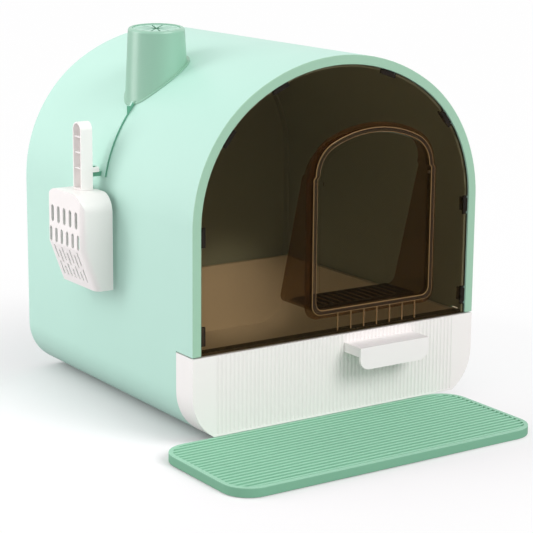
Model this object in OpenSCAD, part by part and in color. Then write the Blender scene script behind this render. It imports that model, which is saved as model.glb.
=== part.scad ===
// Drawer litter box: arched hood, smoked front with a swinging door, pull-out tub, vent and scoop.
// Origin: centre of the footprint on the floor. X runs to the right, the front looks along -Y, Z up.

/* [Hood] */
// Width of the hood over its side walls
body_w = 400; // [384:2:420]
// Depth of the hood from the front rim to the rear panel
body_d = 403; // [390:1:440]
// Height of the spring line, where the straight sides end and the arch begins
spring_z = 250; // [235:1:270]
// Rise of the arch above the spring line, as a share of the hood's width
arch_share = 0.4525; // [0.445:0.0025:0.47]
// Radius of the arch's two shoulders, as a share of the hood's width
shoulder_share = 0.4325; // [0.4125:0.0025:0.435]
// Radius of the two lower corners
corner_r = 57; // [50:1:62]
// Thickness of the hood, rear panel and base
wall = 3; // [2.5:0.5:4]
// Width of the front rim's face
rim_w = 11; // [10:0.5:13]
// Depth of the wall that returns behind the rim's face
rim_return = 14; // [12:0.5:18]
// Thickness of that returning wall
return_t = 2.5; // [2:0.5:3]
// Width of the ledge behind the smoked front
ledge_w = 3; // [2:0.5:4]

/* [Base] */
// Height of the feet
foot_h = 4; // [3:0.5:6]
// Radius of a foot
foot_r = 14; // [10:1:18]
// Height of the runners under the drawer
runner_h = 5; // [4:0.5:7]
// Width of a runner
runner_w = 14; // [10:1:20]
// Distance between the two runners' middles, as a share of the hood's width
runner_share = 0.55; // [0.45:0.01:0.58]
// Thickness of the base's curved side lips
lip_t = 2.5; // [2:0.25:2.5]

/* [Drawer] */
// Height of the drawer front's top edge
drawer_top = 106; // [100:1:115]
// Depth that the drawer front wraps round the sides
wrap_d = 36; // [30:1:45]
// Thickness of the drawer front
front_t = 4; // [3.5:0.5:5]
// Distance from one flute to the next
flute_pitch = 5.5; // [4.5:0.25:7]
// Depth of a flute
flute_depth = 0.7; // [0.4:0.1:1]
// Thickness of the tub's walls
tub_t = 2.5; // [2:0.25:3]
// Depth of the drawer that stays in the hood when it is pulled out
drawer_hold = 73; // [68:1:125]
// Length of the pull
handle_l = 100; // [80:1:120]
// Reach of the pull in front of the drawer
handle_reach = 32; // [25:1:38]
// Height of the pull's lip
handle_h = 26.5; // [20:0.5:32]
// Distance of the pull's middle to the right of the drawer's middle
handle_x = 57; // [40:1:70]
// Radius of the lip's lower corners
handle_corner = 13; // [8:1:16]
// Height of the pull's end walls
handle_end_h = 11; // [8:1:14]

/* [Smoked front] */
// Thickness of the smoked front
panel_t = 2.5; // [2:0.25:3]
// Depth of the smoked front behind the rim
panel_recess = 2; // [1:0.5:3]
// Gap between the drawer's top edge and the smoked front
panel_gap = 1.5; // [1:0.25:3]
// Distance of the doorway's middle to the right of the hood's middle
door_x = 48; // [40:1:52]
// Width of the doorway over its frame
door_w = 176; // [168:1:182]
// Height of the doorway frame's lower edge
door_z0 = 132.5; // [129:0.5:140]
// Height of the door frame's spring line
door_spring = 289; // [280:1:295]
// Rise of the door frame's arch
door_rise = 57; // [52:1:62]
// Radius of the door arch's shoulders
door_shoulder = 41; // [36:1:46]
// Step from the frame's straight bars to its arch
door_step = 3; // [2:0.5:4]
// Width of the frame's bars
frame_w = 6; // [5:0.5:7]
// Height of the flap's hinge axis
flap_axis_z = 286; // [276:1:288]
// Radius of the flap's pins
pin_r = 2; // [1.5:0.25:2.25]
// Depth of the entry sleeve at the door's sill
sleeve_low = 71; // [60:1:80]
// Depth of the entry sleeve at the hinge axis
sleeve_high = 28; // [26:1:34]

/* [Vent] */
// Distance of the vent's foot to the left of the hood's middle, as a share of the hood's width
vent_share = 0.3075; // [0.275:0.0025:0.325]
// Distance of the vent's foot behind the hood's middle
vent_y = 5; // [-5:0.5:15]
// Height of the vent's top above the hood's crown
vent_rise = 20; // [9:1:29]
// Outer radius of the vent's top
vent_r = 33.5; // [31:0.5:36]
// Taper of the vent's side
vent_taper = 3; // [2:0.5:4]
// Lean of the vent towards the front
vent_lean_front = 3.3; // [0:0.1:5]
// Lean of the vent towards the left
vent_lean_left = 2.2; // [0:0.1:4]
// Number of slots in the cap
slot_count = 12; // [8:2:14]
// Width of a slot in the cap
slot_w = 2.4; // [1.8:0.2:2.8]

/* [Scoop and hanger] */
// Width of the scoop's bowl
scoop_w = 88; // [76:1:96]
// Depth of the scoop's bowl
scoop_d = 40; // [32:1:46]
// Length of the scoop's bowl
scoop_l = 114; // [105:1:125]
// Thickness of the scoop's walls
scoop_t = 2.5; // [2:0.25:3]
// Height of the bowl's lower edge when the scoop hangs
scoop_z = 152; // [145:1:160]
// Distance of the scoop's middle behind the hood's middle
scoop_y = 8.5; // [0:0.5:15]
// Length of the scoop's handle above the bowl
grip_l = 80; // [70:1:95]
// Width of the scoop's handle
grip_w = 20; // [16:1:24]
// Depth of the scoop's handle
grip_d = 15.5; // [12:0.5:18]
// Width of the hanger's strap
strap_w = 24; // [18:1:30]
// Thickness of the hanger's strap
strap_t = 2; // [1.5:0.25:3]

/* [Mat] */
// Width of the mat
mat_w = 412; // [380:2:440]
// Depth of the mat
mat_d = 165; // [140:1:190]
// Height of the mat's top
mat_h = 11.5; // [9:0.5:11.5]
// Radius of the mat's corners
mat_corner = 32; // [24:1:40]
// Distance of the mat's middle to the left of the hood's middle
mat_x = 39; // [0:1:60]
// Distance from one ridge of the mat to the next
ridge_pitch = 7.7; // [6:0.1:10]
// Width of the mat's smooth border
mat_border = 5; // [4:0.5:8]

/* [Hidden] */
$fn = 96;

// Clearances: a seat, a sliding face, a running pin, and room round what swings
seat_gap = 0.3;
slide_gap = 0.3;
pin_gap = 0.05;
swing_gap = 1;
eps = 1;

mint = [0.74, 0.93, 0.87];
mint_rim = [0.62, 0.80, 0.68];
mint_mat = [0.55, 0.82, 0.68];
drawer_white = [0.94, 0.93, 0.91];
smoked = [0.22, 0.19, 0.13, 0.75];
bronze = [0.40, 0.30, 0.20, 0.85];
rubber_grey = [0.30, 0.31, 0.31];
carbon = [0.12, 0.12, 0.13];
steel = [0.70, 0.71, 0.73];

half_w = body_w / 2;
arch_rise = arch_share * body_w;
shoulder_r = shoulder_share * body_w;
runner_span = runner_share * body_w;
vent_x = vent_share * body_w;
arch_steps = 18;
corner_steps = 14;
door_corner = 13;
door_round = 8;
front_y = -body_d / 2;
back_y = body_d / 2;
floor_top = foot_h + wall;
hood_back = back_y - wall;
skirt_d = 9;
skirt_t = 2.5;
rim_end = drawer_top + panel_gap;
base_setback = 4;

// The tub follows the hood's own outline, inset by its runners
tub_inset = wall + runner_h + slide_gap;
tub_bottom = foot_h + tub_inset;
tub_top = drawer_top - 0.5;
tub_lip_w = 4;
tub_back = hood_back - 13;
tub_front = front_y + front_t;
drawer_travel = body_d - drawer_hold;
tab_t = 10;
tab_w = 24;
tab_drop = 3.5;
stop_back = tub_back - tab_t - drawer_travel - slide_gap;
stop_size = [30, 8];
stop_x = 0.15 * body_w;

panel_front = front_y + panel_recess;
panel_back = panel_front + panel_t;
panel_z0 = rim_end;
flange_d = 12;

// Snap clips round the edge of the smoked front: heights on the sides, angles on the shoulders and crown
clip_w = 16;
clip_depth = 10;
clip_t = 2;
clip_bridge = [6.5, 22];
barb = 1.2;
clip_heights = [129.5, 241];
shoulder_clips = [38, 142];
crown_clips = [72, 114];

frame_front = front_y;
frame_back = front_y + 8;
frame_lap = 2.2;
flap_t = 2.5;
flap_y = (frame_front + frame_back) / 2;
flap_inset = frame_w + swing_gap;
knuckle_r = 3.2;
step_z = flap_axis_z + knuckle_r + door_step;
door_arch_z = step_z + door_step;
door_arch_half = door_w / 2 - door_step;
door_arch_rise = door_spring + door_rise - door_arch_z;
sleeve_t = 2.5;
sleeve_front = frame_back;
sleeve_flange = 5;
sleeve_slope = (sleeve_low - sleeve_high) / (flap_axis_z - door_z0);

vent_top = spring_z + arch_rise + vent_rise;
vent_foot_z = spring_z + arch_rise - 38;
vent_edge = 3;
vent_cone = 95;
cap_sink = 1.2;
cap_t = 2.4;
groove_depth = 1.6;
cap_r = vent_r - 5.5;
shutter_t = 2.5;
shutter_z = -(cap_sink + cap_t + slide_gap + shutter_t);
hub_r = 3;
spigot_r = 34;
spigot_t = 3;
spigot_l = 45;
vent_foot_r = 39;
vent_foot_t = 1.5;
duct_bore = vent_r - 4;
basket_h = 26;
basket_t = 1.5;
puck_h = 14;
puck_gap = 0.5;

strap_front = scoop_y - 13;
strap_top_a = 142.5;
strap_low_a = 170;
hook_z = 286;
hook_t = 5.5;
hook_w = 7;
hook_tip = 7;
loop_gap = 1;
scoop_back = -(half_w + 7);
scoop_front = scoop_back - scoop_d;
grip_back = scoop_back - 6.5;
hook_end = grip_back + 2 + loop_gap;
bend_z = 49;
bend_in = 18;
bowl_corner = 22;
bowl_edge = 8;

mat_t = 3;
mat_rear = front_y + 1;
mat_lift = 0.8;
ridge_h = 1.5;

// Points along an arc
function arc(centre, r, from, to, steps) =
    [for (i = [0 : steps]) let (a = from + (to - from) * i / steps) centre + r * [cos(a), sin(a)]];

// Rectangle with round corners, centred
module rounded_2d(size, r, steps = 8) {
    across = size[0] / 2 - r;
    up = size[1] / 2 - r;
    polygon(concat(arc([across, up], r, 0, 90, steps), arc([-across, up], r, 90, 180, steps),
        arc([-across, -up], r, 180, 270, steps), arc([across, -up], r, 270, 360, steps)));
}

// Slot with round ends, upright and centred
module slot_2d(width, height, steps = 8) {
    up = (height - width) / 2;
    polygon(concat(arc([0, up], width / 2, 0, 180, steps), arc([0, -up], width / 2, 180, 360, steps)));
}

// How far the crown arc's centre lies below the spring line of a three-centred arch
function crown_drop(half, rise, shoulder) =
    (pow(half - shoulder, 2) - pow(rise - shoulder, 2)) / (2 * (rise - shoulder));

// Points of a three-centred arch on its spring line, every arc inset by the same amount
function arch_points(centre, half, rise, shoulder, inset, steps) =
    let (drop = crown_drop(half, rise, shoulder), lean = atan2(drop, half - shoulder))
    let (crown_step = (180 - 2 * lean) / steps)
    concat(arc(centre + [half - shoulder, 0], shoulder - inset, 0, lean, steps),
        arc(centre - [0, drop], rise + drop - inset, lean + crown_step, 180 - lean - crown_step, steps - 2),
        arc(centre - [half - shoulder, 0], shoulder - inset, 180 - lean, 180, steps));

// Outline of the whole hood, inset by a distance
module body_2d(inset) {
    straight = half_w - corner_r;
    corner_z = foot_h + corner_r;
    polygon(concat(arc([-straight, corner_z], corner_r - inset, 180, 270, corner_steps),
        arc([straight, corner_z], corner_r - inset, 270, 360, corner_steps),
        arch_points([0, spring_z], half_w, arch_rise, shoulder_r, inset, arch_steps)));
}

// Band of the hood's outline between two insets
module body_ring_2d(outer, inner) {
    difference() {
        body_2d(outer);
        body_2d(inner);
    }
}

// Outline of the doorway, inset by a distance: straight bars below, a slightly narrower arch above
module door_2d(inset) {
    straight = door_w / 2 - inset;
    lower_r = door_corner - inset / 2;
    low = door_z0 + inset + lower_r;
    polygon(concat(arc([door_x - straight + lower_r, low], lower_r, 180, 270, door_round),
        arc([door_x + straight - lower_r, low], lower_r, 270, 360, door_round),
        [[door_x + straight, step_z]],
        arch_points([door_x, door_arch_z], door_arch_half, door_arch_rise, door_shoulder, inset, 12),
        [[door_x - straight, step_z]]));
}

// Extrudes an outline drawn in X and Z from one depth to another
module along_y(from, to) {
    translate([0, to, 0]) rotate([90, 0, 0]) linear_extrude(to - from) children();
}

// Places a snap clip on the inner face of the rim: +X points outwards
module at_clips() {
    drop = crown_drop(half_w, arch_rise, shoulder_r);
    for (z = clip_heights, side = [0, 180])
        rotate([0, 0, side]) mirror([0, side / 180, 0]) translate([half_w - rim_w, 0, z]) children();
    for (angle = shoulder_clips)
        translate([sign(90 - angle) * (half_w - shoulder_r), 0, spring_z])
            rotate([0, -angle, 0]) translate([shoulder_r - rim_w, 0, 0]) children();
    for (angle = crown_clips)
        translate([0, 0, spring_z - drop])
            rotate([0, -angle, 0]) translate([arch_rise + drop - rim_w, 0, 0]) children();
}

// Places the vent's parts: the origin is the middle of the vent's top
module on_vent() {
    rise = vent_top - vent_foot_z;
    translate([-vent_x - rise * tan(vent_lean_left), vent_y - rise * tan(vent_lean_front), vent_top])
        rotate([vent_lean_front, -vent_lean_left, 0]) children();
}

module hood_shell() {
    slit_r = shoulder_r - wall - eps;
    color(mint) difference() {
        along_y(front_y, hood_back) body_2d(0);
        // Rim: seat of the smoked front, ledge, hollow behind the face and the cabin behind it
        along_y(front_y - eps, panel_back) body_2d(rim_w);
        along_y(front_y - eps, back_y) body_2d(rim_w + ledge_w);
        along_y(panel_back + return_t, back_y) body_2d(rim_w);
        along_y(front_y + wall, back_y) body_ring_2d(wall, rim_w - return_t);
        along_y(front_y + rim_return, back_y) body_2d(wall);
        // Mouth of the drawer and opening for the base
        translate([-body_w, front_y - eps, -eps])
            cube([2 * body_w, wrap_d + eps + slide_gap, rim_end + eps]);
        translate([corner_r - half_w, front_y, -eps])
            cube([body_w - 2 * corner_r, body_d, floor_top + 2 * eps]);
        // Windows for the snap clips, and the breaks in the ledge beside them
        at_clips() {
            translate([-ledge_w - eps, panel_back - eps, -clip_w / 2 - 2])
                cube([ledge_w + 1.1 * eps, return_t + 2 * eps, clip_w + 4]);
            translate([-eps, panel_back + clip_depth - 5, -clip_w / 2 - 0.5])
                cube([return_t + 2 * eps, 3.6, clip_w + 1]);
        }
        // Hole for the vent and slit for the hanger's tongue
        on_vent() translate([0, 0, -vent_cone]) cylinder(r = spigot_r + seat_gap, h = vent_cone);
        translate([shoulder_r - half_w, scoop_y - 7, spring_z]) rotate([0, -strap_top_a, 0])
            translate([slit_r, 0, -1.4]) cube([wall + 3 * eps, 20, 2.8]);
    }
}

module rear_panel() {
    recess = 1.2;
    margin = 20;
    color(mint) {
        difference() {
            along_y(hood_back, back_y) body_2d(0);
            along_y(back_y - recess, back_y + eps) body_2d(margin);
        }
        // Skirt that snaps inside the hood, behind the drawer's way
        intersection() {
            along_y(hood_back - skirt_d, hood_back)
                body_ring_2d(wall + seat_gap, wall + seat_gap + skirt_t);
            translate([-half_w, hood_back - skirt_d - eps, tub_bottom + 5])
                cube([body_w, skirt_d + 2 * eps, 2 * body_w]);
        }
    }
}

module base_tray() {
    edge = half_w - corner_r - seat_gap;
    lip_in = 10;
    lip_out = 20;
    lip_front = front_y + wrap_d + 5;
    lip_back = hood_back - 15;
    lip_top = floor_top + seat_gap + lip_t;
    rib_half = runner_span / 2 - runner_w / 2 - 4;
    rib_pitch = 110;
    rib_t = 2;
    rib_h = 1;
    color(mint) {
        translate([-edge, front_y + base_setback, foot_h])
            cube([2 * edge, body_d - base_setback - wall, wall]);
        for (side = [0, 1]) mirror([side, 0, 0]) {
            translate([edge - lip_in, lip_front, floor_top - eps])
                cube([lip_in + seat_gap + 0.01, lip_back - lip_front, lip_top - floor_top + eps]);
            intersection() {
                along_y(lip_front, lip_back)
                    body_ring_2d(wall + seat_gap, wall + seat_gap + lip_t);
                translate([edge + seat_gap, front_y, foot_h]) cube([lip_out, body_d, lip_out]);
            }
        }
        // Low ribs across the floor between the runners
        for (row = [-1 : 1])
            translate([-rib_half, row * rib_pitch + rib_t, floor_top - eps])
                cube([2 * rib_half, rib_t, rib_h + eps]);
    }
}

module runner(side) {
    runner_front = front_y + wrap_d;
    runner_back = hood_back - 15;
    groove_w = 4;
    groove_h = 1;
    color(mint) translate([side * runner_span / 2 - runner_w / 2, runner_front, floor_top]) difference() {
        cube([runner_w, runner_back - runner_front, runner_h]);
        translate([(runner_w - groove_w) / 2, -eps, runner_h - groove_h]) cube([groove_w, body_d, 2]);
    }
}

module runner_left() {
    runner(-1);
}

module runner_right() {
    runner(1);
}

module drawer_stops() {
    color(mint) for (side = [-1, 1])
        translate([side * stop_x - stop_size[0] / 2, stop_back - stop_size[1], floor_top]) {
            cube([stop_size[0], stop_size[1], tub_bottom - floor_top - 1]);
            for (rib = [0, 1])
                translate([rib * (stop_size[0] - 3), -6, 0]) cube([3, 6 + eps, 2.5]);
        }
}

module feet() {
    inset = 60;
    color(rubber_grey) for (spot = [[-1, -1], [1, -1], [-1, 1], [1, 1], [0, 0]])
        translate([spot[0] * (half_w - inset - 20), spot[1] * (body_d / 2 - inset + 10), 0])
            rotate_extrude() polygon([[0, 0], [foot_r - 1, 0], [foot_r, 1], [foot_r, foot_h], [0, foot_h]]);
}

module front_panel() {
    shelf = half_w - rim_w - ledge_w - seat_gap;
    color(smoked) difference() {
        union() {
            intersection() {
                along_y(panel_front, panel_back) body_2d(rim_w + seat_gap);
                translate([-half_w, front_y, panel_z0]) cube([body_w, 20, 2 * body_w]);
            }
            // Shelf along the lower edge
            translate([-shelf, panel_back - eps, panel_z0]) cube([2 * shelf, flange_d + eps, panel_t]);
        }
        along_y(front_y, panel_back + eps) door_2d(frame_lap - seat_gap);
        at_clips() translate([-clip_bridge[0], panel_front - eps, -clip_bridge[1] / 2])
            cube([10, panel_t + 2 * eps, clip_bridge[1]]);
    }
}

module panel_clips() {
    back_off = 0.4;
    barb_d = 2.6;
    color(smoked) at_clips() {
        // Tongue with its barb, and the bridge that carries it in the panel's notch
        translate([-back_off - clip_t, panel_front, -clip_w / 2])
            cube([clip_t, clip_depth + panel_t, clip_w]);
        translate([-clip_bridge[0], panel_front, -clip_bridge[1] / 2])
            cube([clip_bridge[0] - back_off - clip_t + 0.01, panel_t, clip_bridge[1]]);
        translate([-back_off - 0.2, panel_back + clip_depth - 4.5, -clip_w / 2])
            cube([barb + back_off + 0.2, barb_d, clip_w]);
    }
}

module door_frame() {
    color(bronze) difference() {
        union() {
            along_y(frame_front, panel_front) door_2d(0);
            along_y(panel_front - eps, frame_back) door_2d(frame_lap);
        }
        along_y(front_y - eps, frame_back + eps) door_2d(frame_w);
        translate([door_x, flap_y, flap_axis_z]) rotate([0, 90, 0])
            cylinder(r = pin_r + pin_gap, h = door_w - 2 * frame_lap - 1.2, center = true);
    }
}

module sill_ribs() {
    rib_count = 7;
    rib_pitch = 18.9;
    rib_t = 1.8;
    first = door_x - 50.5;
    color(bronze) for (rib = [0 : rib_count - 1])
        translate([first + rib * rib_pitch - rib_t / 2, frame_front + 0.4, panel_z0 + 4])
            cube([rib_t, panel_recess - 0.4, door_z0 - panel_z0 - 4]);
}

module vestibule() {
    slant = atan(sleeve_slope);
    reach = 300;
    color(bronze) difference() {
        union() {
            along_y(sleeve_front, front_y + sleeve_low + 20) door_2d(frame_lap);
            along_y(panel_back, sleeve_front) intersection() {
                door_2d(-sleeve_flange);
                translate([-half_w, panel_z0 + panel_t + 1]) square([body_w, body_w]);
            }
        }
        along_y(panel_back - eps, sleeve_front) door_2d(frame_lap - seat_gap);
        along_y(sleeve_front - eps, back_y) door_2d(frame_lap + sleeve_t);
        // Slanted rear edge
        translate([-half_w, front_y + sleeve_high, flap_axis_z]) rotate([slant, 0, 0])
            translate([0, 0, -reach]) cube([body_w, reach, 2 * reach]);
    }
}

module litter_grille() {
    inset = frame_lap + sleeve_t + seat_gap;
    grille_w = door_w - 2 * inset - 26;
    grille_front = frame_back + 4;
    grille_d = sleeve_low - 8 - 4 - 6;
    bar_count = 13;
    bar_t = 2.4;
    pitch = (grille_w - bar_t) / (bar_count - 1);
    color(bronze) translate([door_x - grille_w / 2, grille_front, door_z0 + inset - seat_gap]) {
        for (bar = [0 : bar_count - 1]) translate([bar * pitch, 0, 0]) cube([bar_t, grille_d, 3]);
        for (end = [0, 1]) translate([0, end * (grille_d - bar_t), 0]) cube([grille_w, bar_t, 3]);
    }
}

// Radial slots of the cap and of the shutter plate below it
module slot_star(inner, outer, depth) {
    for (slot = [0 : slot_count - 1]) rotate([0, 0, (slot + 0.5) * 360 / slot_count - 33])
        translate([inner, -slot_w / 2, 0]) cube([outer - inner, slot_w, depth]);
}

module vent_duct() {
    foot_out = vent_r + vent_cone * tan(vent_taper);
    color(mint) {
        difference() {
            union() {
                on_vent() rotate_extrude() polygon(concat([[0, -vent_cone], [foot_out, -vent_cone]],
                    arc([vent_r - vent_edge, -vent_edge], vent_edge, 0, 90, 5), [[0, 0]]));
                // Foot flange that follows the hood
                intersection() {
                    along_y(-2 * vent_foot_r, 2 * vent_foot_r)
                        body_ring_2d(-seat_gap - vent_foot_t, -seat_gap);
                    on_vent() translate([0, 0, -vent_cone]) cylinder(r = vent_foot_r, h = vent_cone);
                }
            }
            along_y(-2 * vent_foot_r, 2 * vent_foot_r) body_2d(-seat_gap);
            on_vent() {
                translate([0, 0, -cap_sink - cap_t - slide_gap]) cylinder(r = cap_r + slide_gap, h = 10);
                translate([0, 0, shutter_z - vent_cone]) cylinder(r = duct_bore, h = vent_cone);
                translate([0, 0, shutter_z - eps]) {
                    cylinder(r = hub_r + pin_gap, h = 10);
                    slot_star(hub_r + 3, cap_r - 3, 10);
                }
            }
        }
        // Spigot through the hole of the hood
        on_vent() translate([0, 0, -vent_cone + 5]) difference() {
            cylinder(r = spigot_r, h = spigot_l);
            translate([0, 0, -eps]) cylinder(r = spigot_r - spigot_t, h = spigot_l + 2 * eps);
        }
    }
}

module filter_basket() {
    flange_r = duct_bore - seat_gap;
    basket_r = duct_bore - 1.5;
    color(drawer_white) on_vent() translate([0, 0, shutter_z - seat_gap - basket_h]) difference() {
        union() {
            cylinder(r = basket_r, h = basket_h);
            translate([0, 0, basket_h - 2]) cylinder(r = flange_r, h = 2);
        }
        translate([0, 0, basket_t]) cylinder(r = basket_r - basket_t, h = basket_h);
        translate([0, 0, -eps]) slot_star(5, basket_r - 4, 5);
    }
}

module filter_puck() {
    color(carbon) on_vent()
        translate([0, 0, shutter_z - seat_gap - basket_h + basket_t])
            cylinder(r = duct_bore - 1.5 - basket_t - puck_gap, h = puck_h);
}

module vent_cap() {
    color(mint) on_vent() difference() {
        union() {
            translate([0, 0, -cap_sink - cap_t]) cylinder(r = cap_r, h = cap_t);
            translate([0, 0, shutter_z - 0.2]) cylinder(r = hub_r, h = shutter_t + cap_t);
        }
        translate([0, 0, -cap_sink - cap_t - eps]) slot_star(hub_r + 3, cap_r - 3, 10);
        translate([0, 0, -cap_sink - groove_depth]) slot_star(0, cap_r - 3, 10);
    }
}

module scoop_hanger() {
    inner_r = shoulder_r + seat_gap;
    shoulder_centre = [shoulder_r - half_w, spring_z];
    arm_len = -(half_w - 2) - hook_end;
    tongue_w = 17;
    color(mint_rim) {
        // Strap that follows the hood's shoulder
        along_y(strap_front, strap_front + strap_w) polygon(concat(
            arc(shoulder_centre, inner_r + strap_t, strap_top_a, strap_low_a, 10),
            arc(shoulder_centre, inner_r, strap_low_a, strap_top_a, 10)));
        // Tongue in the slit
        translate([shoulder_r - half_w, scoop_y - 5.5, spring_z]) rotate([0, -strap_top_a, 0]) {
            translate([shoulder_r - wall - 3, 0, -0.9])
                cube([wall + 3 + seat_gap + strap_t, tongue_w, 1.8]);
            translate([shoulder_r - wall - 3, 0, -3.2]) cube([2.4, tongue_w, 2.4]);
        }
        // Barbed fin on the front edge, cut back round the vent's foot
        difference() {
            along_y(strap_front, strap_front + 3) translate(shoulder_centre)
                rotate(strap_top_a) polygon([[inner_r, 5], [inner_r, -8], [inner_r + 4, -11],
                    [inner_r + 3.5, -5], [inner_r + 7.5, -2], [inner_r + strap_t, 5]]);
            on_vent() translate([0, 0, -vent_cone]) cylinder(r = vent_foot_r + seat_gap, h = vent_cone);
        }
        // Hook: arm and upturned tip
        translate([hook_end, scoop_y - hook_w / 2, hook_z - hook_t]) cube([arm_len, hook_w, hook_t]);
        translate([hook_end, scoop_y - 3, hook_z - eps]) cube([4, 6, hook_tip + eps]);
    }
}

module drawer_front() {
    corner = 50;
    low = foot_h + 8;
    flutes = floor((body_w - 60) / flute_pitch);
    color(drawer_white) difference() {
        intersection() {
            difference() {
                along_y(front_y, front_y + wrap_d) body_2d(0);
                along_y(front_y + front_t, front_y + wrap_d + eps) body_2d(front_t - 0.5);
            }
            translate([-body_w, front_y - eps, low]) cube([2 * body_w, wrap_d + 2 * eps, drawer_top - low]);
        }
        // Flutes of the face, between plain margins
        for (flute = [0 : flutes])
            translate([(flute - flutes / 2) * flute_pitch, front_y - 2.6 + flute_depth, low + 2])
                cylinder(r = 2.6, h = drawer_top);
        // Holes of the pull's screws
        for (side = [-1, 1])
            translate([handle_x + side * handle_l / 4, front_y + front_t + eps, drawer_top - 18])
                rotate([90, 0, 0]) cylinder(r = 2.2, h = front_t + 3 * eps);
    }
}

module drawer_tub() {
    color(drawer_white) {
        intersection() {
            difference() {
                along_y(tub_front, tub_back) body_2d(tub_inset);
                along_y(tub_front + tub_t, tub_back - tub_t) body_2d(tub_inset + tub_t);
            }
            translate([-body_w, front_y, 0]) cube([2 * body_w, body_d, tub_top]);
        }
        // Rolled lip round the open top
        intersection() {
            difference() {
                along_y(tub_front, tub_back + 3) body_2d(tub_inset - tub_lip_w);
                along_y(tub_front + tub_t, tub_back - tub_t) body_2d(tub_inset + tub_t);
            }
            translate([-body_w, front_y, tub_top - 2.5]) cube([2 * body_w, body_d, 2.5]);
        }
        // Tabs under the rear end that meet the stops
        for (side = [-1, 1])
            translate([side * stop_x - tab_w / 2, tub_back - tab_t, tub_bottom - tab_drop])
                cube([tab_w, tab_t, tab_drop + eps]);
    }
}

module drawer_handle() {
    top = drawer_top - 10.3;
    plate_t = 3;
    end_t = 2.5;
    color(drawer_white) {
        translate([handle_x - handle_l / 2, front_y - handle_reach, top - plate_t])
            cube([handle_l, handle_reach, plate_t]);
        // Lip with round lower corners
        along_y(front_y - handle_reach, front_y - handle_reach + plate_t)
            translate([handle_x, top - handle_h]) polygon(concat(
                [[handle_l / 2, handle_h], [-handle_l / 2, handle_h]],
                arc([handle_corner - handle_l / 2, handle_corner], handle_corner, 180, 270, 10),
                arc([handle_l / 2 - handle_corner, handle_corner], handle_corner, 270, 360, 10)));
        // End walls and the strip that lies on the drawer
        for (side = [0, 1])
            translate([handle_x - handle_l / 2 + side * (handle_l - end_t), front_y - handle_reach,
                top - handle_end_h]) cube([end_t, handle_reach, handle_end_h]);
        translate([handle_x - handle_l / 2, front_y - plate_t, top - handle_end_h]) difference() {
            cube([handle_l, plate_t, handle_end_h]);
            for (side = [-1, 1])
                translate([handle_l / 2 + side * handle_l / 4, plate_t + eps, handle_end_h - 7.7])
                    rotate([90, 0, 0]) cylinder(r = 1.6, h = 3.2);
        }
    }
}

module handle_screws() {
    color(steel) for (side = [-1, 1])
        translate([handle_x + side * handle_l / 4, 0, drawer_top - 18]) {
            along_screw = front_y + front_t;
            translate([0, along_screw, 0]) rotate([90, 0, 0]) cylinder(r = 1.5, h = front_t + 2);
        }
}

module door_flap() {
    color(smoked) {
        difference() {
            along_y(flap_y - flap_t / 2, flap_y + flap_t / 2) door_2d(flap_inset);
            along_y(flap_y - flap_t / 2 - eps, flap_y - flap_t / 2 + 0.5) door_2d(flap_inset + 5);
        }
        for (side = [0, 1]) translate([door_x, 0, 0]) mirror([side, 0, 0])
            translate([door_w / 2 - flap_inset - 8, flap_y, flap_axis_z]) rotate([0, 90, 0])
                cylinder(r = knuckle_r, h = 8);
    }
}

module flap_pins() {
    color(steel) for (side = [0, 1]) translate([door_x, 0, 0]) mirror([side, 0, 0])
        translate([door_w / 2 - flap_inset, flap_y, flap_axis_z]) rotate([0, 90, 0])
            cylinder(r = pin_r, h = flap_inset - frame_lap - 1);
}

module scoop_bowl() {
    top = scoop_z + scoop_l;
    notch_w = hook_w + 2;
    color(drawer_white) difference() {
        bowl_solid(0, 0);
        bowl_solid(scoop_t, eps);
        // Two rows of upright slots: number, pitch, width, height above the lower edge, length
        slot_row(5, 14.6, 6.4, 73.5, 20.5);
        slot_row(6, 13.5, 6, 49.5, 18);
        // Staggered slots of the slanted lip, short ones where they come near the edge
        for (row = [0, 1], slot = [-3 : 3]) {
            raised = abs(slot) % 2;
            cut = row + raised == 0 ? 5 : 0;
            translate([scoop_front + bend_in, scoop_y + slot * 9.4, scoop_z])
                rotate([0, -atan(bend_in / bend_z), 0])
                    translate([-5, 0, 13 + row * 22 + raised * 5 + cut / 2]) rotate([90, 0, 90])
                        linear_extrude(12) slot_2d(3.2, 18 - cut);
        }
        // Notch in the rear edge of the top wall, which passes the hook when the scoop is lifted off
        translate([hook_end - loop_gap, scoop_y - notch_w / 2, top - scoop_t - eps])
            cube([scoop_back - hook_end + loop_gap + eps, notch_w, scoop_t + 2 * eps]);
    }
}

// Bowl inset by a wall: its plan drawn along the plate and along the slanted lip, crossed with its outline
module bowl_solid(inset, over) {
    width = scoop_w - 2 * inset;
    r = bowl_corner - inset;
    intersection() {
        translate([scoop_front, scoop_y, scoop_z - over]) linear_extrude(scoop_l + over)
            bowl_plan_2d(inset, scoop_d + over);
        translate([scoop_front, scoop_y, scoop_z + bend_z]) rotate([0, -atan(bend_in / bend_z), 0])
            translate([0, 0, -scoop_l]) linear_extrude(2 * scoop_l) bowl_plan_2d(inset, 2 * scoop_d);
        translate([scoop_front - 5, scoop_y, scoop_z]) rotate([90, 0, 90]) linear_extrude(scoop_d + 10)
            polygon(concat([[-width / 2, -2 * eps], [width / 2, -2 * eps]],
                arc([width / 2 - r, scoop_l - bowl_corner], r, 0, 90, 10),
                arc([r - width / 2, scoop_l - bowl_corner], r, 90, 180, 10)));
    }
}

// Plan of the bowl with its two round front edges
module bowl_plan_2d(inset, depth) {
    across = scoop_w / 2 - bowl_edge;
    r = bowl_edge - inset;
    polygon(concat([[depth, across + r]], arc([bowl_edge, across], r, 90, 180, 6),
        arc([bowl_edge, -across], r, 180, 270, 6), [[depth, -across - r]]));
}

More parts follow.
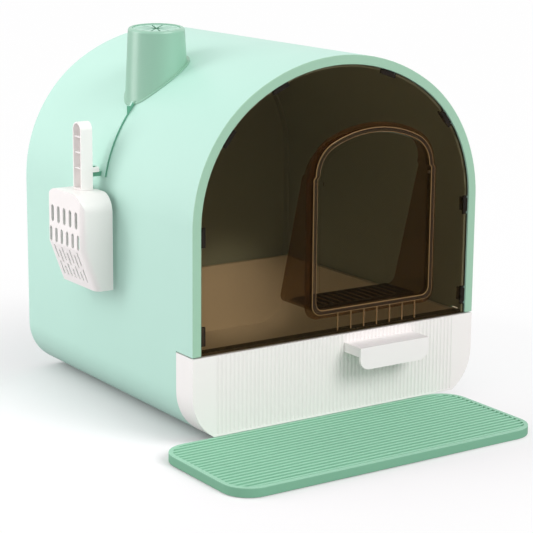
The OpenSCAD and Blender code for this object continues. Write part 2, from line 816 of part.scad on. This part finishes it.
// Row of upright slots through the bowl's flat plate
module slot_row(count, pitch, width, low, height) {
    for (slot = [0 : count - 1])
        translate([scoop_front - eps, scoop_y + (slot - (count - 1) / 2) * pitch,
            scoop_z + low + height / 2])
            rotate([90, 0, 90]) linear_extrude(scoop_t + 2 * eps) slot_2d(width, height);
}

module scoop_handle() {
    low = scoop_z + scoop_l;
    high = low + grip_l;
    color(drawer_white) {
        difference() {
            grip_solid(low, high, grip_w, grip_d);
            translate([-2, 0, 0]) grip_solid(low + 2, high - 2, grip_w - 4, grip_d);
        }
        for (rib = [24.5, 43, 61.5])
            translate([grip_back - grip_d + 1.5, scoop_y - grip_w / 2 + 1, low + rib])
                cube([grip_d - 2, grip_w - 2, 1.6]);
        // Eyelet behind the grip
        translate([grip_back, scoop_y - 7, hook_z]) difference() {
            cube([10, 14, 6]);
            translate([2, 3, -eps]) cube([6, 8, 6 + 2 * eps]);
        }
    }
}

// Grip bar with a round top
module grip_solid(low, high, width, depth) {
    translate([grip_back - depth, scoop_y, 0]) rotate([90, 0, 90]) linear_extrude(depth)
        polygon(concat([[-width / 2, low], [width / 2, low]],
            arc([0, high - width / 2], width / 2, 0, 180, 16)));
}

module floor_mat() {
    middle = mat_rear - mat_d / 2;
    inner = [mat_w - 2 * mat_border, mat_d - 2 * mat_border];
    ridges = floor((inner[1] - ridge_pitch) / ridge_pitch);
    color(mint_mat) translate([-mat_x, middle, 0]) {
        difference() {
            translate([0, 0, mat_lift]) linear_extrude(mat_h - mat_lift)
                rounded_2d([mat_w, mat_d], mat_corner);
            translate([0, 0, -eps]) linear_extrude(mat_h - ridge_h - mat_t + eps)
                rounded_2d([mat_w - 2 * mat_t, mat_d - 2 * mat_t], mat_corner - mat_t);
            translate([0, 0, mat_h - ridge_h]) linear_extrude(mat_h)
                rounded_2d(inner, mat_corner - mat_border);
        }
        // Ridges of the tread
        intersection() {
            for (ridge = [0 : ridges])
                translate([-mat_w / 2, (ridge - ridges / 2) * ridge_pitch, mat_h - ridge_h])
                    rotate([0, 90, 0]) cylinder(r = ridge_h, h = mat_w);
            translate([0, 0, mat_h - ridge_h - 0.5]) linear_extrude(ridge_h + 1)
                rounded_2d(inner, mat_corner - mat_border);
        }
        // Ribs under the tread
        for (rib = [-2 : 2]) translate([rib * 75 - 1, -mat_d / 2 + mat_t - 0.5, mat_lift])
            cube([2, mat_d - 2 * mat_t + 1, mat_h - ridge_h - mat_t - mat_lift + 0.5]);
        for (side = [-1, 1], end = [-1, 1])
            translate([side * (mat_w / 2 - 30), end * (mat_d / 2 - 30), 3])
                cylinder(r = 10, h = mat_h - ridge_h - 4);
    }
}

module mat_pads() {
    color(rubber_grey) for (side = [-1, 1], end = [-1, 1])
        translate([side * (mat_w / 2 - 30) - mat_x, mat_rear - mat_d / 2 + end * (mat_d / 2 - 30), 0])
            cylinder(r = 10, h = 3);
}

hood_shell();
rear_panel();
base_tray();
runner_left();
runner_right();
drawer_stops();
feet();
front_panel();
panel_clips();
door_frame();
sill_ribs();
vestibule();
litter_grille();
vent_duct();
filter_basket();
filter_puck();
scoop_hanger();
drawer_front();
drawer_tub();
drawer_handle();
handle_screws();
door_flap();
flap_pins();
vent_cap();
scoop_bowl();
scoop_handle();
floor_mat();
mat_pads();
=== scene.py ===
import math

import bmesh
import bpy
from mathutils import Matrix, Vector


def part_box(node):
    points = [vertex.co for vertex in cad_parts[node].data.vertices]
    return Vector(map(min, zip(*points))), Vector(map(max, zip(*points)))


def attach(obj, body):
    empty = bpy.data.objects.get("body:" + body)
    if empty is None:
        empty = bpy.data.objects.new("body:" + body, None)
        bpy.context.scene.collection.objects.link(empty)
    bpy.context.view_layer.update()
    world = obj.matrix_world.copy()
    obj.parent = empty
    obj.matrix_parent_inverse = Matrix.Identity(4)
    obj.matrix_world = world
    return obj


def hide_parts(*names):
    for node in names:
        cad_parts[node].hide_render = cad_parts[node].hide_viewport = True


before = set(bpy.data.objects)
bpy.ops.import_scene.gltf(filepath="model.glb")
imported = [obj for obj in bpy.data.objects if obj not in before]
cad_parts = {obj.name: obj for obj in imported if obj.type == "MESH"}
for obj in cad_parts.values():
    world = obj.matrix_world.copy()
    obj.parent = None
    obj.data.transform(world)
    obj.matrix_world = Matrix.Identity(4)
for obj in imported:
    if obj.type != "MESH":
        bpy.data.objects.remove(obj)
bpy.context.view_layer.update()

# Camera: stands at the front left, a little above the box, and looks slightly down on it.
# A long lens from about two metres away keeps the box's edges nearly parallel.
camera_place = (-1.1875, -1.8091, 0.6425)
heading, dip, tilt = 0.5933, 0.2244, 0.0088
ahead = Vector((math.sin(heading) * math.cos(dip), math.cos(heading) * math.cos(dip), -math.sin(dip)))
level_right = Vector((math.cos(heading), -math.sin(heading), 0.0))
level_up = level_right.cross(ahead)
right = math.cos(tilt) * level_right + math.sin(tilt) * level_up
up = math.cos(tilt) * level_up - math.sin(tilt) * level_right
camera = bpy.data.objects.new("camera", bpy.data.cameras.new("camera"))
camera.data.sensor_width = 36.0
camera.data.lens = 120.09
camera.matrix_world = Matrix.Translation(camera_place) @ Matrix((right, up, -ahead)).transposed().to_4x4()
bpy.context.scene.collection.objects.link(camera)
bpy.context.scene.camera = camera
bpy.context.scene.view_settings.view_transform = "Standard"


# Floor and light: a pale studio floor in a white room that is brighter at the left.
# A broad lamp shines from the front, and a tall soft box stands at the rear left.
class Wire:
    """A node's socket. Sums, differences and products of wires add their Math nodes."""

    def __init__(self, wiring, socket):
        self.wiring = wiring
        self.socket = socket

    def reckon(self, operation, first, second):
        return self.wiring.add("ShaderNodeMath", {"operation": operation}, {0: first, 1: second})

    def most(self, other):
        return self.reckon("MAXIMUM", self, other)

    def __add__(self, other):
        return self.reckon("ADD", self, other)

    def __sub__(self, other):
        return self.reckon("SUBTRACT", self, other)

    def __rsub__(self, other):
        return self.reckon("SUBTRACT", other, self)

    def __mul__(self, other):
        return self.reckon("MULTIPLY", self, other)

    __radd__ = __add__
    __rmul__ = __mul__


class Wiring:
    """The nodes of a finish or of the room. Each comes from the method add."""

    def __init__(self, tree):
        self.tree = tree

    def add(self, kind, settings=None, sockets=None, output=0):
        """Adds a node, with its settings first and then its sockets' values or wires."""
        node = self.tree.nodes.new(kind)
        for key, value in (settings or {}).items():
            setattr(node, key, value)
        for key, value in (sockets or {}).items():
            self.feed(node.inputs[key], value)
        return Wire(self, node.outputs[output])

    def feed(self, socket, value):
        if isinstance(value, Wire):
            self.tree.links.new(value.socket, socket)
        else:
            socket.default_value = value

    def ramp(self, value, start, end, high=1.0, curve="LINEAR"):
        """Rises from nothing at the start to its highest at the end."""
        return self.add("ShaderNodeMapRange", {"interpolation_type": curve},
                        {"Value": value, "From Min": start, "From Max": end, "To Max": high})


class Finish(Wiring):
    """A material built round one Principled shader."""

    def __init__(self, name, **fixed):
        self.material = bpy.data.materials.new(name)
        self.material.use_nodes = True
        super().__init__(self.material.node_tree)
        self.shader = self.tree.nodes["Principled BSDF"]
        self.surface = Wire(self, self.shader.outputs[0])
        self.place = self.add("ShaderNodeTexCoord", output="Object")
        for socket, value in fixed.items():
            self.shader.inputs[socket.replace("_", " ")].default_value = value

    def drive(self, socket, value):
        self.feed(self.shader.inputs[socket], value)

    def show(self, surface):
        self.feed(self.tree.nodes["Material Output"].inputs["Surface"], surface)

    def noise(self, scale, detail=2.0):
        return self.add("ShaderNodeTexNoise", {}, {"Vector": self.place, "Scale": scale, "Detail": detail})

    def between(self, share, first, second):
        return self.add("ShaderNodeMix", {"data_type": "RGBA"}, {0: share, 6: first, 7: second}, 2)

    def dent(self, height, depth, strength):
        sockets = {"Height": height, "Distance": depth, "Strength": strength}
        self.drive("Normal", self.add("ShaderNodeBump", {}, sockets))


def tone(red, green, blue, times=1.0):
    """A colour of 0 to 255 as a shader takes it."""
    parts = [part / 255 for part in (red, green, blue)]
    linear = [part / 12.92 if part <= 0.04045 else ((part + 0.055) / 1.055) ** 2.4 for part in parts]
    return (*[min(1.0, part * times) for part in linear], 1.0)


floor_shape = bmesh.new()
bmesh.ops.create_grid(floor_shape, x_segments=1, y_segments=1, size=30.0)
floor_mesh = bpy.data.meshes.new("studio_floor")
floor_shape.to_mesh(floor_mesh)
floor = bpy.data.objects.new("studio_floor", floor_mesh)
bpy.context.scene.collection.objects.link(floor)

# The seen floor keeps the shadow close to the box and fades to white at the right and further out.
white = (1.0, 1.0, 1.0, 1.0)
shadow_middle = (-0.05, 0.0, 0.0)
floor_paint = Finish("floor_paint", Roughness=0.9, Specular_IOR_Level=0.1)
floor_tone = floor_paint.between(floor_paint.noise(3.0), tone(246, 243, 245), tone(250, 247, 249))
floor_paint.drive("Base Color", floor_tone)
sideways = floor_paint.add("ShaderNodeSeparateXYZ", {}, {0: floor_paint.place}, "X")
spread = floor_paint.add("ShaderNodeVectorMath", {"operation": "DISTANCE"},
                         {0: floor_paint.place, 1: shadow_middle}, "Value")
white_right = floor_paint.ramp(sideways, start=-0.2, end=0.35, high=0.7, curve="SMOOTHSTEP")
white_around = floor_paint.ramp(spread, start=0.26, end=0.62, high=0.9, curve="SMOOTHSTEP")
floor_glow = floor_paint.add("ShaderNodeEmission", {}, {"Color": white})
seen_floor = floor_paint.add("ShaderNodeMixShader", {},
                             {0: white_right.most(white_around), 1: floor_paint.surface, 2: floor_glow})
dull_floor = floor_paint.add("ShaderNodeBsdfDiffuse", {}, {"Color": (0.53, 0.50, 0.515, 1.0)})
floor_ray = floor_paint.add("ShaderNodeLightPath", output="Is Camera Ray")
floor_paint.show(floor_paint.add("ShaderNodeMixShader", {}, {0: floor_ray, 1: dull_floor, 2: seen_floor}))
floor_mesh.materials.append(floor_paint.material)

# The room lights the box at a plain level and shows as white itself, also in gloss and through glass.
room = bpy.data.worlds.new("room")
room.use_nodes = True
bpy.context.scene.world = room
bright_side = (-0.80, 0.30, 0.52)
even_light, side_light = 0.585, 0.40
air = Wiring(room.node_tree)
way = air.add("ShaderNodeTexCoord", output="Generated")
leftwards = air.add("ShaderNodeVectorMath", {"operation": "DOT_PRODUCT"}, {0: way, 1: bright_side}, "Value")
brightness = even_light + side_light * leftwards.most(0.0)
lit_air = air.add("ShaderNodeBackground", {}, {"Color": white, "Strength": brightness})
white_air = air.add("ShaderNodeBackground", {}, {"Color": white})
seen = air.add("ShaderNodeLightPath", output="Is Camera Ray")
mirrored = air.add("ShaderNodeLightPath", output="Is Glossy Ray")
seen_through = air.add("ShaderNodeLightPath", output="Is Transmission Ray")
either_air = air.add("ShaderNodeMixShader", {},
                     {0: seen.most(mirrored).most(seen_through), 1: lit_air, 2: white_air})
air.feed(air.tree.nodes["World Output"].inputs["Surface"], either_air)


def set_up(lamp, backwards, place=(0.0, 0.0, 0.0)):
    """Stands a lamp at its place, unseen itself, with its back towards a direction."""
    stand = bpy.data.objects.new(lamp.name, lamp)
    stand.location = place
    stand.rotation_euler = Vector(backwards).to_track_quat("Z", "Y").to_euler()
    stand.visible_camera = False
    bpy.context.scene.collection.objects.link(stand)


fill_lamp = bpy.data.lights.new("fill_lamp", "SUN")
fill_lamp.energy = 1.38
fill_lamp.angle = math.radians(30)
set_up(fill_lamp, (0.3, -0.85, 0.66))

key_lamp = bpy.data.lights.new("key_lamp", "AREA")
key_lamp.shape = "RECTANGLE"
key_lamp.size = 0.75
key_lamp.size_y = 1.6
key_lamp.energy = 11.0
set_up(key_lamp, (-0.85, 0.53, 0.0), (-1.40, 0.80, 0.85))

# Cabin lamp: a small warm spotlight inside the hood, close behind the smoked front.
# It falls on the tub's rear wall, so that the tub shows through the smoked plastic.
cabin_place = Vector((-0.10, -0.16, 0.27))
tub_wall_place = Vector((0.09, 0.165, 0.07))
cabin_lamp = bpy.data.lights.new("cabin_lamp", "SPOT")
cabin_lamp.energy = 2.15
cabin_lamp.color = (1.0, 0.86, 0.68)
cabin_lamp.spot_size = math.radians(24)
cabin_lamp.spot_blend = 1.0
cabin_lamp.shadow_soft_size = 0.02
set_up(cabin_lamp, cabin_place - tub_wall_place, cabin_place)

# Hood: one thick-walled moulding of mint plastic, open in front, that snaps over the base.
# Its arched rim's front face is painted a deeper mint as painted shade, and a ledge inside it carries the
# smoked front.
# The ledge and the inner walls are painted a darker grey mint as painted shade.
mint = (190, 230, 216)
# The rim's deeper mint is painted shade on its front-facing face.
rim_shade_mint = (164, 206, 180)


def moulded_plastic(name, colour, roughness=0.42, grain=0.00003, hollow_shade=None, gloss=0.4):
    """Moulded plastic with spark-eroded grain and faint clouds from the flow in the mould.
    Hollow shade is the way into a groove, where along it the groove starts and is deepest, and the colour
    at its foot: a painted shade that darkens the groove."""
    finish = Finish(name, Specular_IOR_Level=gloss)
    clouds = finish.noise(7.0, 3.0)
    specks = finish.noise(900.0, 1.0)
    paint = finish.between(clouds * 0.7 + specks * 0.3, tone(*colour, 0.955), tone(*colour, 1.04))
    # Painted shade: a groove's colour darkens from its lip to its foot, where shade falls.
    if hollow_shade:
        inwards, start, deepest, dark = hollow_shade
        level = finish.add("ShaderNodeVectorMath", {"operation": "DOT_PRODUCT"},
                           {0: finish.place, 1: inwards}, "Value")
        paint = finish.between(finish.ramp(level, start, deepest), paint, tone(*dark))
    finish.drive("Base Color", paint)
    finish.drive("Roughness", roughness + 0.12 * (finish.noise(26.0, 4.0) - 0.5))
    finish.dent(finish.noise(1600.0) + 0.5 * finish.noise(520.0, 1.0), grain, 0.5)
    return finish.material


corner_across, corner_height = 0.143, 0.061
shoulder_across, shoulder_height = 0.027, 0.25
crown_height = shoulder_height - 0.04156


def hood_curve(spot):
    """Directions square to the outline's arcs, which the hood's ledges, lips and drawer share."""
    aside, height = abs(spot.x), spot.z
    if height < corner_height and aside > corner_across:
        middle = (corner_across, corner_height)
    elif height > shoulder_height:
        in_crown = aside * (shoulder_height - crown_height) < (height - crown_height) * shoulder_across
        middle = (0.0, crown_height) if in_crown else (shoulder_across, shoulder_height)
    else:
        return []
    out = Vector((aside - middle[0], 0.0, height - middle[1])).normalized()
    out.x = -out.x if spot.x < 0 else out.x
    return [out, -out]


def fan_normal(loop, blunt):
    """Normal at a face's corner, from the faces that its smooth edges join, large ones counting more."""
    total = loop.face.normal * loop.face.calc_area()
    for forward in (True, False):
        here = loop
        while True:
            side = here if forward else here.link_loop_prev
            if not side.edge.is_manifold or side.edge.calc_face_angle() > blunt:
                break
            here = side.link_loop_radial_next.link_loop_next if forward else side.link_loop_radial_next
            if here.face is loop.face:
                return total.normalized()
            total += here.face.normal * here.face.calc_area()
    return total.normalized()


def moulding(node, body, slot, *finishes, soften=0.0, where=None, steps=2, curve=None):
    """A CAD node's mesh as one closed moulding: flats whole, edges softened, curves shaded as curves.
    Softened edges take the last finish."""
    blunt = math.radians(32)
    shape = bmesh.new()
    shape.from_mesh(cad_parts[node].data)
    bmesh.ops.remove_doubles(shape, verts=shape.verts, dist=0.00001)
    bmesh.ops.dissolve_limit(shape, angle_limit=math.radians(0.5), verts=shape.verts, edges=shape.edges)
    if soften:
        sharp = [edge for edge in shape.edges
                 if edge.is_manifold and edge.calc_face_angle() > blunt and (not where or where(edge))]
        bmesh.ops.bevel(shape, geom=sharp, affect="EDGES", offset=soften, offset_type="OFFSET",
                        segments=steps, profile=0.5, material=len(finishes) - 1, clamp_overlap=True)
    shape.normal_update()
    # A face this near to square with the true curve, as a cosine, is shaded as part of it.
    on_curve = 0.9965
    normals = []
    for face in shape.faces:
        face.smooth = True
        for loop in face.loops:
            ways = sorted(curve(loop.vert.co) if curve else [], key=face.normal.dot)
            curved = ways and ways[-1].dot(face.normal) > on_curve
            normals.append(ways[-1] if curved else fan_normal(loop, blunt))
    mesh = bpy.data.meshes.new(node + "_moulding")
    shape.to_mesh(mesh)
    mesh.set_sharp_from_angle(angle=blunt)
    mesh.normals_split_custom_set(normals)
    for finish in finishes:
        mesh.materials.append(finish)
    piece = bpy.data.objects.new(mesh.name, mesh)
    bpy.context.scene.collection.objects.link(piece)
    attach(piece, body)
    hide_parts(node)
    return piece


# The width of a hair, by which two positions may differ and still be the same.
hair = 0.00005


def in_plane(axis, level):
    """Picks the edges that lie in one plane square to an axis."""
    return lambda edge: all(abs(getattr(corner.co, axis) - level) < hair for corner in edge.verts)


hood_finish = moulded_plastic("mint_hood", mint)
# Painted shade: the hood's ledge and inner walls take a darker grey mint.
inside_shade_finish = moulded_plastic("mint_inside_painted_shade", (166, 184, 182), 0.6)
rim_shade_finish = moulded_plastic("mint_rim", rim_shade_mint)
rim_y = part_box("hood_shell")[0].y
panel_thick = 0.0025
ledge_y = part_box("front_panel")[0].y + panel_thick
middle_height = 0.2
hood = moulding("hood_shell", "housing", "mint_plastic", hood_finish, inside_shade_finish, rim_shade_finish, soften=0.0009,
                where=in_plane("y", rim_y), curve=hood_curve)
# Painted shade: front-facing rim faces take the deeper rim mint; the ledge and the inward-facing walls take
# the darker inside mint.
for face in hood.data.polygons:
    faces_front = face.normal.y < -0.9
    faces_inside = face.normal.x * face.center.x + face.normal.z * (face.center.z - middle_height) < 0
    if faces_front and face.center.y < rim_y + 0.001:
        face.material_index = 2
    elif faces_front and abs(face.center.y - ledge_y) < 0.0006:
        face.material_index = 1
    elif faces_inside and abs(face.normal.y) < 0.3 and face.center.y > rim_y + 0.005:
        face.material_index = 1

# Rear panel: the hood's flat back of the same mint plastic, with a shallow recess.
# It is a moulding of its own whose skirt is pushed into the hood from behind, and its inside is painted a
# darker grey mint as painted shade.
back_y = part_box("rear_panel")[1].y
recess_y = back_y - 0.0035
rear = moulding("rear_panel", "housing", "mint_plastic", inside_shade_finish, hood_finish, soften=0.002,
                where=in_plane("y", back_y), steps=4, curve=hood_curve)
# Painted shade: only the outward faces at the back keep the hood's mint; the faces towards the inside take
# the darker inside mint.
for face in rear.data.polygons:
    if face.center.y > recess_y and face.normal.y > -0.9:
        face.material_index = 1

# Base with its runners and stops: the floor of the box, in the hood's plastic but a little duller.
# The drawer slides on the two runners, and the stops hold it at its open end.
base_finish = moulded_plastic("mint_base", (186, 226, 212), 0.5)
for node in ("base_tray", "runner_left", "runner_right", "drawer_stops"):
    moulding(node, "housing", "mint_plastic", base_finish, curve=hood_curve)

# Feet: five round pads of soft grey rubber.
# They are moulded with a fine rounded edge and pressed into the underside of the base.
foot_finish = moulded_plastic("foot_rubber", (70, 72, 72), 0.75, 0.00006)
moulding("feet", "housing", "foot_rubber", foot_finish, soften=0.0003)


# Smoked front: a sheet of clear brown acrylic with the doorway cut in it, thin enough to see the tub.
# It lies on the hood's ledge, held by dark snap tongues, and its cut edges look darker than its face.
def smoked_acrylic(name, passes, body_colour, share, roughness=0.08):
    """Tinted clear plastic: light passes in the tint, the rest shows the plastic and its gloss.
    The share is how much plastic shows when it is looked at squarely."""
    finish = Finish(name, Specular_IOR_Level=0.5)
    haze = finish.noise(30.0, 4.0)
    finish.drive("Base Color", finish.between(haze, tone(*body_colour, 0.9), tone(*body_colour, 1.1)))
    finish.drive("Roughness", roughness + 0.05 * haze)
    finish.dent(finish.noise(55.0), 0.00004, 0.3)
    clear = finish.add("ShaderNodeBsdfTransparent", {}, {"Color": (*passes, 1.0)})
    inner_side = finish.add("ShaderNodeNewGeometry", output="Backfacing")
    mirrors = finish.add("ShaderNodeFresnel", {}, {"IOR": 1.45}) * (1.0 - inner_side)
    finish.show(finish.add("ShaderNodeMixShader", {},
                           {0: share + mirrors * (1.0 - share), 1: clear, 2: finish.surface}))
    return finish.material


smoke = smoked_acrylic("smoked_front", (0.83, 0.745, 0.62), (60, 50, 32), 0.05)
smoke_edge = smoked_acrylic("smoked_edge", (0.50, 0.41, 0.29), (34, 27, 17), 0.6)
window = moulding("front_panel", "housing", "smoked_clear", smoke, smoke_edge, curve=hood_curve)
for face in window.data.polygons:
    if abs(face.normal.y) < 0.5:
        face.material_index = 1
clip_smoke = smoked_acrylic("smoked_clips", (0.60, 0.50, 0.38), (34, 27, 18), 0.5)
moulding("panel_clips", "housing", "smoked_clear", clip_smoke)

# Door frame and sill ribs: a raised arch round the doorway and a row of short ribs below it.
# They are thicker smoked plastic, welded to the front, and their rounded edges are painted a brighter bronze
# as a painted highlight.
frame_smoke = smoked_acrylic("smoked_frame", (0.72, 0.62, 0.48), (76, 58, 36), 0.30, 0.15)
# Painted highlight: a brighter bronze on the softened edges of the frame and the ribs.
frame_painted_highlight = smoked_acrylic("frame_painted_highlight", (0.60, 0.50, 0.36), (162, 128, 84), 0.66, 0.15)
moulding("door_frame", "housing", "smoked_clear", frame_smoke, frame_painted_highlight, soften=0.0009,
         where=in_plane("y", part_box("door_frame")[0].y))
moulding("sill_ribs", "housing", "smoked_clear", frame_smoke, frame_painted_highlight, soften=0.0006)

# Entry sleeve and grille: the tunnel behind the doorway and the slotted step on its floor.
# Both are moulded in smoked plastic. The sleeve is fixed behind the front and carries the grille.
sleeve_smoke = smoked_acrylic("smoked_sleeve", (0.84, 0.73, 0.56), (104, 74, 42), 0.30)
moulding("vestibule", "housing", "smoked_clear", sleeve_smoke)
grille_smoke = smoked_acrylic("smoked_grille", (0.50, 0.40, 0.28), (40, 31, 18), 0.6, 0.2)
moulding("litter_grille", "housing", "smoked_clear", grille_smoke)

# Door flap: a plate of the same smoked acrylic as the front, which hangs in the doorway.
# It swings both ways on two steel pins at the spring line of the arch.
moulding("door_flap", "flap", "smoked_clear", smoke)
pin_steel = moulded_plastic("pin_steel", (120, 112, 100), 0.3, 0.00001)
moulding("flap_pins", "flap", "screw_steel", pin_steel)

# Vent: a glossy conical chimney of mint plastic, painted a deeper mint all over as painted shade, its thin
# flange lying on the hood.
# Inside it hang a white filter basket and a puck of carbon foam.
vent_axis = Vector((-0.038324, -0.057564, 0.997606))
vent_middle = Vector((-0.12523, 0.001656, 0.451))
vent_taper = math.radians(3)


def vent_curve(spot):
    """Directions square to the vent's bores and to its tapered outside."""
    out = spot - vent_middle
    out = (out - out.dot(vent_axis) * vent_axis).normalized()
    return [out, -out, math.cos(vent_taper) * out + math.sin(vent_taper) * vent_axis]


# The vent's deeper mint is painted shade.
vent_shade_finish = moulded_plastic("mint_vent_painted_shade", (146, 193, 169), 0.34, 0.00001, gloss=1.0)
moulding("vent_duct", "housing", "mint_plastic", vent_shade_finish, curve=vent_curve)
white_finish = moulded_plastic("white_plastic", (248, 244, 242), 0.38)
moulding("filter_basket", "housing", "white_plastic", white_finish, curve=vent_curve)
carbon = moulded_plastic("carbon_foam", (38, 38, 40), 0.9, 0.0005)
moulding("filter_puck", "housing", "carbon_foam", carbon, soften=0.0005)

# Vent cap: a disc of mint plastic sunk in the chimney's top, with slots and grooves from its middle.
# It turns in its seat on the chimney's axis, and a small twist opens and closes the slots.
cap_top = max(corner.co.dot(vent_axis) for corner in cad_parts["vent_cap"].data.vertices)
groove_lip, groove_foot = cap_top - 0.0003, cap_top - 0.0014
# Painted shade: the cap's grooves darken towards their foot.
cap_finish = moulded_plastic("mint_cap", (182, 222, 204),
                             hollow_shade=(vent_axis, groove_lip, groove_foot, (104, 158, 132)))
moulding("vent_cap", "cap", "mint_plastic", cap_finish, curve=vent_curve)

# Hanger: a thin curved strap of mint plastic with a hook for the scoop at its lower end.
# Its barbed tongue is pushed through a slit in the hood, and the front faces of the strap and hook are
# painted a darker green as painted shade.
strap_edge_shade_finish = moulded_plastic("hanger_edge_painted_shade", (100, 165, 138))
strap = moulding("scoop_hanger", "housing", "hanger_plastic", hood_finish, strap_edge_shade_finish,
                 curve=hood_curve)
# Painted shade: the strap's and the hook's front faces take the darker green.
for face in strap.data.polygons:
    if face.normal.y < -0.9:
        face.material_index = 1

# Scoop: a shallow bowl of white plastic with rows of slots, and a channelled handle with cross ribs.
# Both are moulded with softened edges, and the handle's eyelet hangs on the hook.
plate_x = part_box("scoop_bowl")[0].x
moulding("scoop_bowl", "scoop", "white_plastic", white_finish, soften=0.0006, where=in_plane("x", plate_x))
moulding("scoop_handle", "scoop", "white_plastic", white_finish, soften=0.0005)

# Drawer: a fluted front that wraps round both sides, the litter tub behind it, and the pull.
# All three are moulded in white plastic. The pull is held from inside the tub by two screws.
drawer_finish = moulded_plastic("drawer_white", (251, 248, 246), 0.4)
drawer_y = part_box("drawer_front")[0].y
flute_foot = drawer_y + 0.0007
# Painted shade: the flutes' valleys are painted a little darker towards their foot.
fluted_finish = moulded_plastic("drawer_fluted", (253, 247, 245), 0.4,
                                hollow_shade=((0.0, 1.0, 0.0), drawer_y, flute_foot, (245, 240, 238)))
drawer_face = moulding("drawer_front", "drawer", "white_plastic", drawer_finish, fluted_finish,
                       curve=hood_curve)
for face in drawer_face.data.polygons:
    if face.center.y < flute_foot + hair:
        face.material_index = 1
tub_finish = moulded_plastic("tub_white", (236, 233, 228), 0.5)
moulding("drawer_tub", "drawer", "white_plastic", tub_finish, curve=hood_curve)
handle_finish = moulded_plastic("handle_white", (253, 247, 246), 0.36)
moulding("drawer_handle", "drawer", "white_plastic", handle_finish, soften=0.0008)
moulding("handle_screws", "drawer", "screw_steel", pin_steel)

# Mat: a thin slab of soft mint plastic with round corners, whose ridges catch the litter.
# It is moulded in one piece and lies loose in front of the drawer on four soft pads.
mat_low, mat_high = (corner.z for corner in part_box("floor_mat"))
ridge_top, ridge_foot = mat_high - 0.0003, mat_high - 0.0013


def round_mat_side(edge):
    """Picks the edges of the mat's side faces, which reach down to its underside, and not its ridges."""
    return min(corner.co.z for side in edge.link_faces for corner in side.verts) < mat_low + 2 * hair


# Painted shade: the valleys between the ridges are painted a deeper green towards their foot.
mat_finish = moulded_plastic("mint_mat", (158, 209, 182), 0.55,
                             hollow_shade=((0.0, 0.0, 1.0), ridge_top, ridge_foot, (124, 180, 150)))
moulding("floor_mat", "mat", "mat_plastic", mat_finish, soften=0.0012, where=round_mat_side)
moulding("mat_pads", "mat", "foot_rubber", foot_finish, soften=0.0003)
